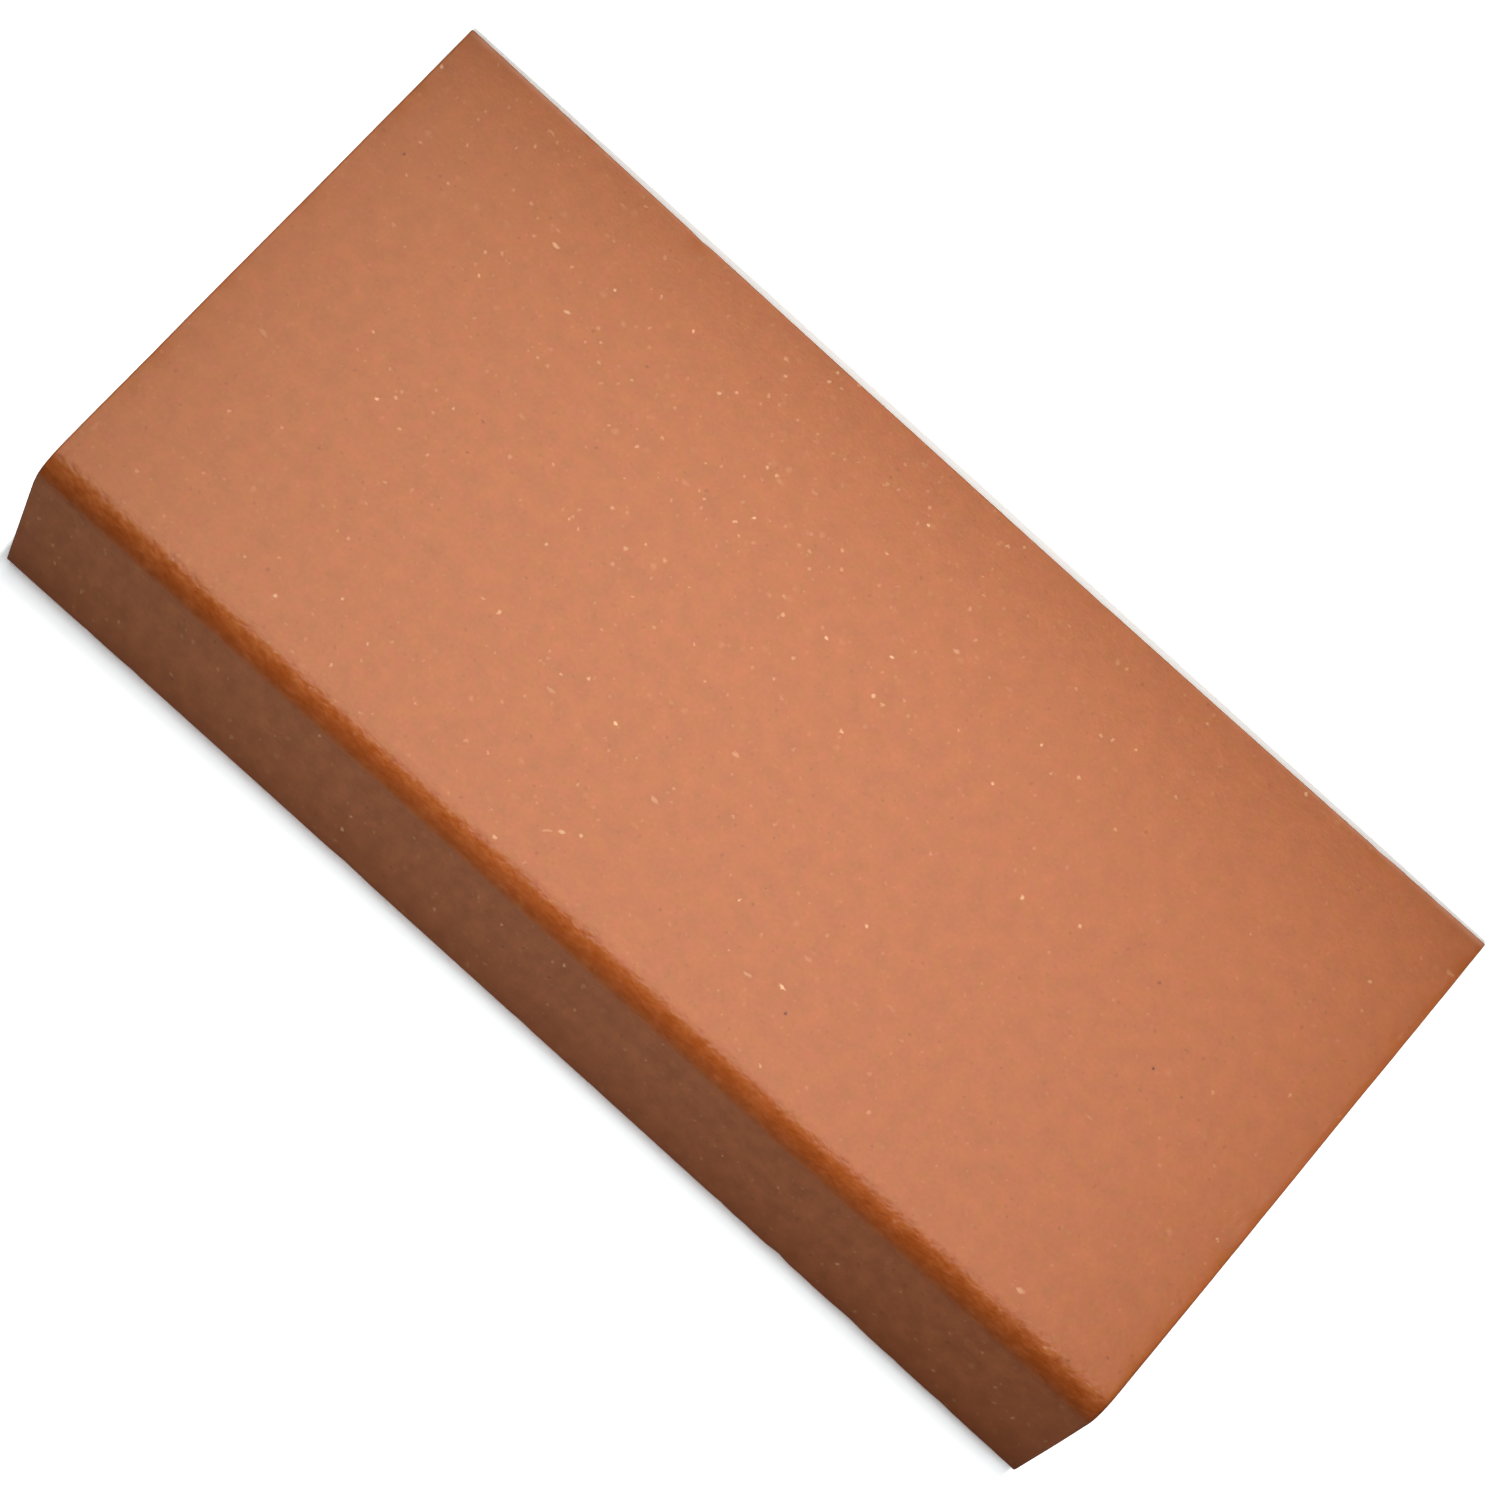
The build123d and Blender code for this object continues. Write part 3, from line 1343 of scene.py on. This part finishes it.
@dataclass
class Room:
    """The light of the room on all sides, white to the camera."""

    name: str = "room"
    ambient: float = 0.12
    in_gloss: float = 0.025

    def build(self) -> bpy.types.World:
        """Makes the world.

        Returns:
            The world.
        """
        world = bpy.data.worlds.new(self.name)
        world.use_nodes = True
        bench = Bench(world.node_tree)
        camera = bench.node("ShaderNodeLightPath", {}, "Is Camera Ray")
        glossy = bench.node("ShaderNodeLightPath", {}, "Is Glossy Ray")
        dim, shine, white = (
            bench.node("ShaderNodeBackground", {"Color": opaque((1.0, 1.0, 1.0)), "Strength": strength})
            for strength in (self.ambient, self.in_gloss, 1.0)
        )
        shader = bench.node("ShaderNodeMixShader", {0: glossy, 1: dim, 2: shine})
        shader = bench.node("ShaderNodeMixShader", {0: camera, 1: shader, 2: white})
        bench.node("ShaderNodeOutputWorld", {"Surface": shader})
        bpy.context.scene.world = world
        return world


@dataclass
class OverheadCamera:
    """The camera straight above the tile, turned so that the nosing runs down to the right."""

    name: str = "overhead"
    place: Point = (-2.735 * MM, 5.667 * MM, 1262.106 * MM)
    aim: Point = (1.153 * MM, 0.902 * MM, 0.0)
    right: Point = (0.7419, 0.6705, 0.0)
    lens: float = 169.16
    sensor: float = 36.0

    def build(self) -> bpy.types.Object:
        """Makes the camera and sets it as the scene's.

        Returns:
            The camera.
        """
        data = bpy.data.cameras.new(self.name)
        data.lens, data.sensor_width = self.lens, self.sensor
        camera = put(self.name, data)
        camera.matrix_world = aimed(self.place, self.aim, self.right)
        bpy.context.scene.camera = camera
        return camera


def main() -> None:
    logging.basicConfig(level=logging.INFO, format="%(name)s %(message)s")
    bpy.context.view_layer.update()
    bpy.context.scene.view_settings.view_transform = "Standard"
    panels = (
        SoftPanel(),
        SoftPanel("bright_middle", place=(-0.01, 0.171, 0.190), aim=(0.083, -0.030, -0.049),
                  width=0.14, depth=0.12, radiance=0.42),
        SoftPanel("fill_panel", place=(-0.01, -0.30, 0.16), aim=(-0.01, -0.03, 0.03),
                  width=0.16, depth=0.12, radiance=2.2, in_gloss=False),
        SoftPanel("side_panel", place=(0.30, 0.02, 0.22), aim=(0.06, 0.0, 0.03),
                  width=0.16, depth=0.16, radiance=0.85, in_gloss=False),
    )
    for part in (OverheadCamera(), Room(), *panels, Floor(), TreadTile()):
        made = part.build()
        LOG.info("%s: %s", type(part).__name__, made.name)


if __name__ == "__main__":
    main()
